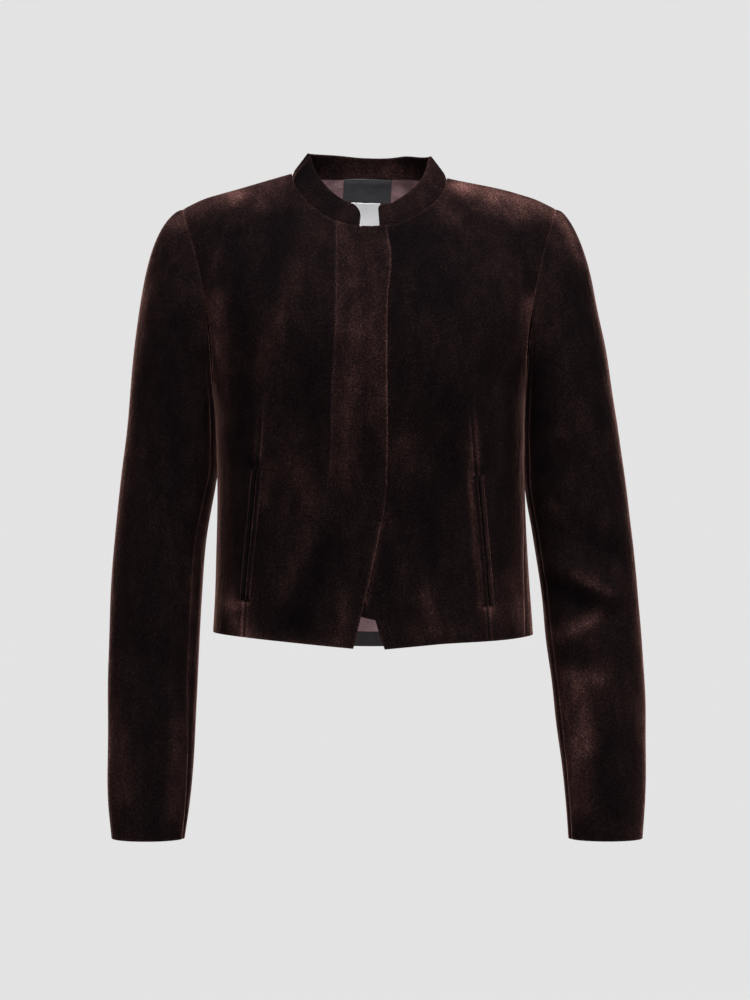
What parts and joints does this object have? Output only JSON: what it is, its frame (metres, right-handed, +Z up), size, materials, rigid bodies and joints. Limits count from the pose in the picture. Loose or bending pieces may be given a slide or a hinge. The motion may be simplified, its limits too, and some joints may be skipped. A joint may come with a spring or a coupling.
{
  "type": "cropped velvet jacket",
  "caption": "Cropped dark brown velvet jacket, hollow as if worn, with a stand collar, concealed fly front, slanted jetted pockets and two-piece set-in sleeves.",
  "frame": {"origin": "middle of the neck base, level with the inner ends of the shoulder seams, where a wearer's neck and shoulders hold the jacket", "axes": "+X to the wearer's left, +Y to the back, +Z up; the front faces -Y"},
  "size_m": [0.5358, 0.2376, 0.6842],
  "materials": {
    "velvet": "dark brown cotton velvet with an uneven nap",
    "lining_satin": "mauve brown viscose satin",
    "hem_cloth": "dark grey turned-up hem",
    "label_black": "charcoal woven label, bare",
    "label_white": "white satin label, bare"
  },
  "bodies": {
    "root": {"front_right": "velvet", "front_left": "velvet", "fly_placket": "velvet", "back": "velvet", "collar": "velvet", "sleeve_right_top": "velvet", "sleeve_right_under": "velvet", "sleeve_left_top": "velvet", "sleeve_left_under": "velvet", "pocket_right_front_welt": "velvet", "pocket_right_side_welt": "velvet", "pocket_left_front_welt": "velvet", "pocket_left_side_welt": "velvet", "back_lining": "lining_satin", "back_hem_facing": "hem_cloth", "neck_label": "label_black", "care_label": "label_white"}
  },
  "joints": []
}
